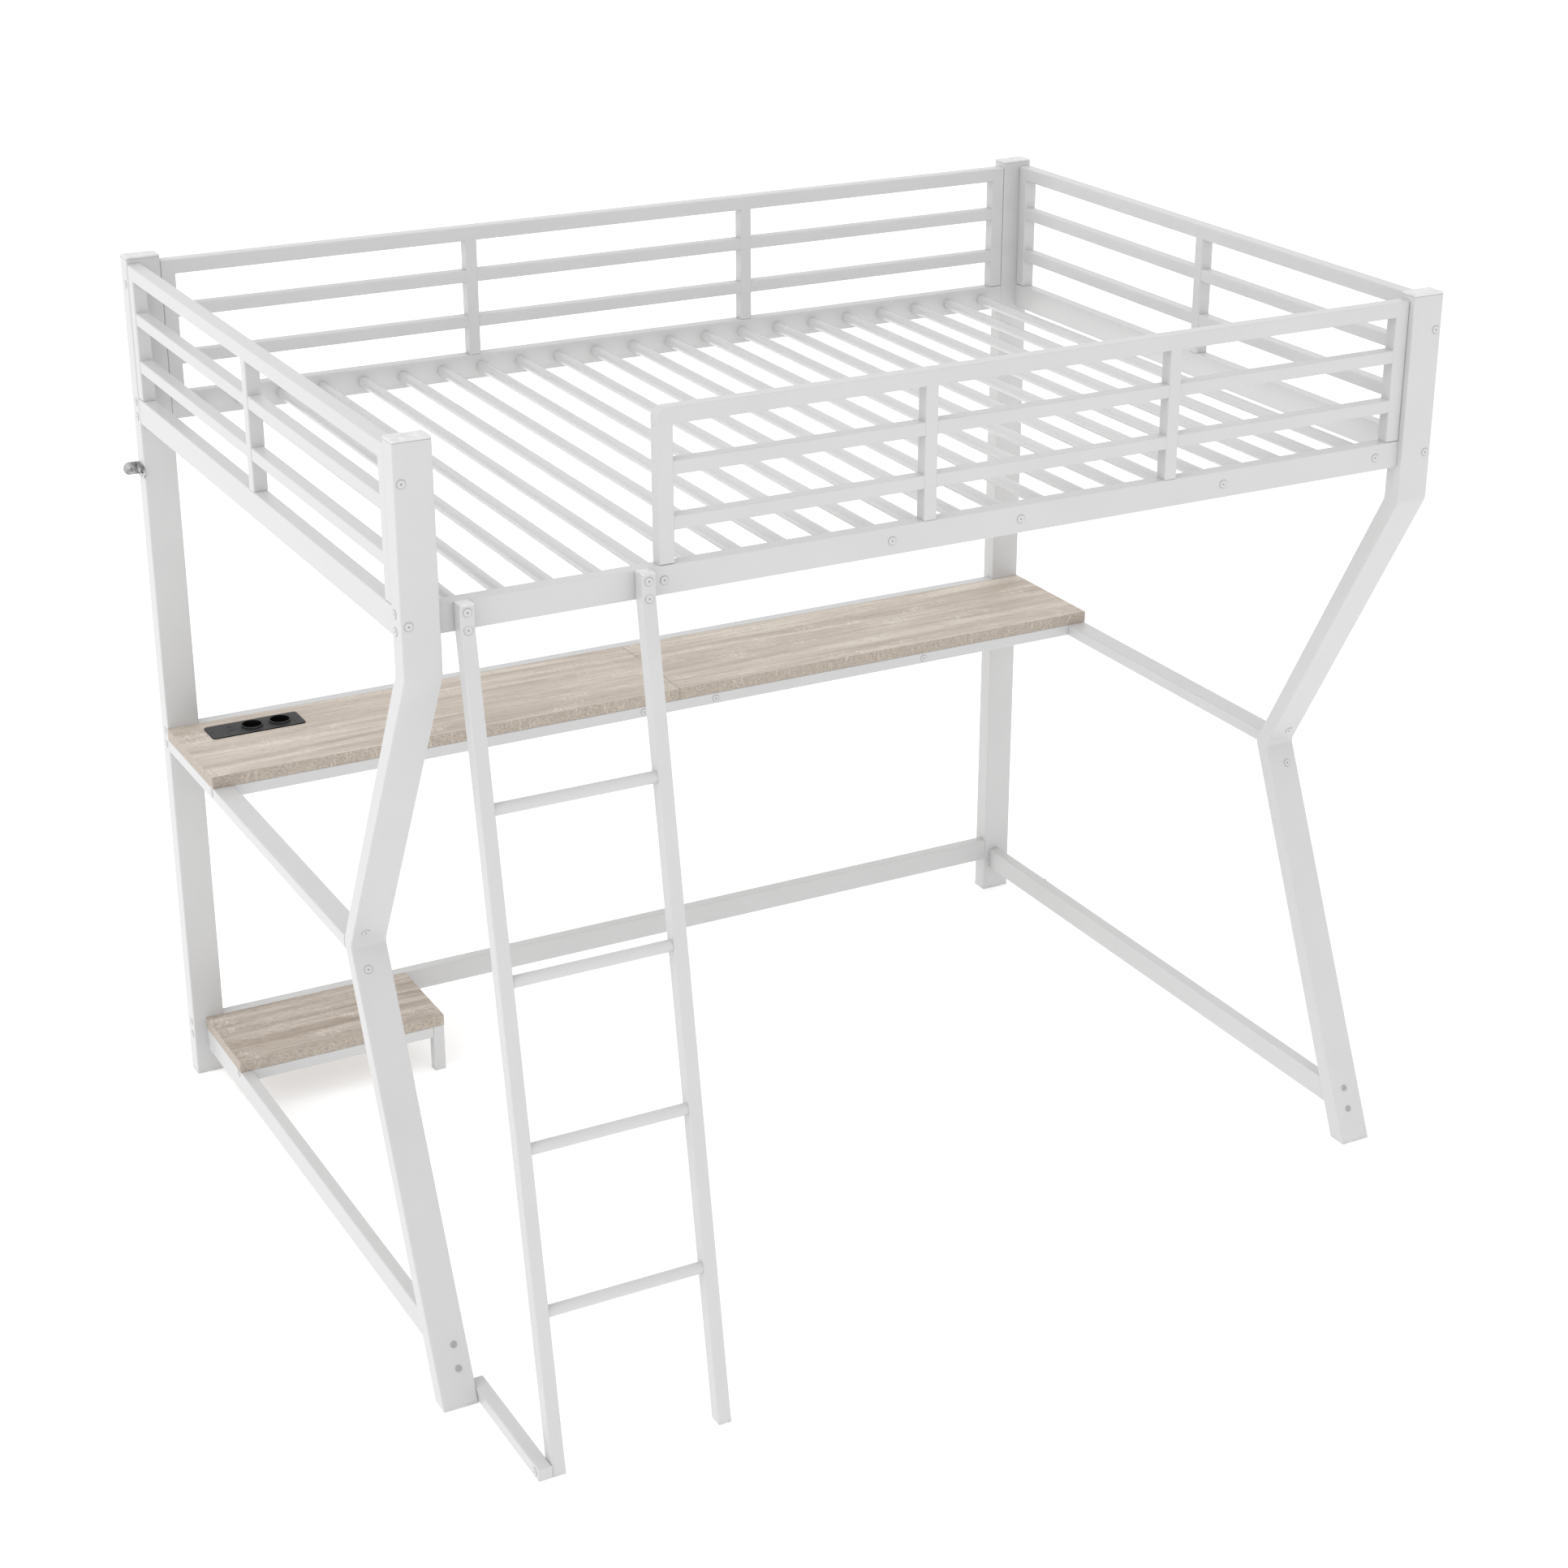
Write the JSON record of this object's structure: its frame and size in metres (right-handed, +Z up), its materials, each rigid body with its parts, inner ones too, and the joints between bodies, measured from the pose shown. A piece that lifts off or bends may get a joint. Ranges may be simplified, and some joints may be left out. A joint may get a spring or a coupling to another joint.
{
  "type": "loft bed with desk",
  "caption": "White steel loft bed with guard rails and a leaning ladder, over a long narrow wall-side desk, a low corner shelf and bent front legs.",
  "frame": {"origin": "bottom centre of the whole object's box, on the floor", "axes": "+X along the bed from the ladder end, +Y towards the wall side, +Z up"},
  "size_m": [2.1118, 1.73, 1.8],
  "materials": {
    "frame": "satin white powder coat",
    "slats": "satin white powder coat",
    "caps": "white moulded plastic",
    "boards": "greige oak laminate with long grain",
    "bracket": "bright plating",
    "sockets": "black moulded plastic"
  },
  "bodies": {
    "root": {"rear_post_left": "frame", "rear_post_right": "frame", "front_leg_left": "frame", "front_leg_right": "frame", "post_cap_front_left": "caps", "post_cap_front_right": "caps", "post_cap_rear_left": "caps", "post_cap_rear_right": "caps", "bed_rail_front": "frame", "bed_rail_rear": "frame", "bed_rail_left": "frame", "bed_rail_right": "frame", "slat_01": "slats", "slat_02": "slats", "slat_03": "slats", "slat_04": "slats", "slat_05": "slats", "slat_06": "slats", "slat_07": "slats", "slat_08": "slats", "slat_09": "slats", "slat_10": "slats", "slat_11": "slats", "slat_12": "slats", "slat_13": "slats", "slat_14": "slats", "slat_15": "slats", "slat_16": "slats", "slat_17": "slats", "slat_18": "slats", "slat_19": "slats", "slat_20": "slats", "slat_21": "slats", "slat_22": "slats", "guard_front": "frame", "guard_rear": "frame", "guard_left": "frame", "guard_right": "frame", "desk_board_left": "boards", "desk_board_right": "boards", "desk_rail_rear": "frame", "desk_rail_front": "frame", "desk_brace_left": "frame", "desk_brace_right": "frame", "desk_support_1": "frame", "desk_support_2": "frame", "desk_support_3": "frame", "desk_support_4": "frame", "floor_rail_rear": "frame", "floor_brace_left": "frame", "floor_brace_right": "frame", "shelf_board": "boards", "shelf_rail_front": "frame", "shelf_rail_side": "frame", "shelf_leg": "frame", "ladder": "frame", "ladder_floor_bar": "frame", "wall_bracket": "bracket", "power_strip": "sockets"}
  },
  "joints": []
}
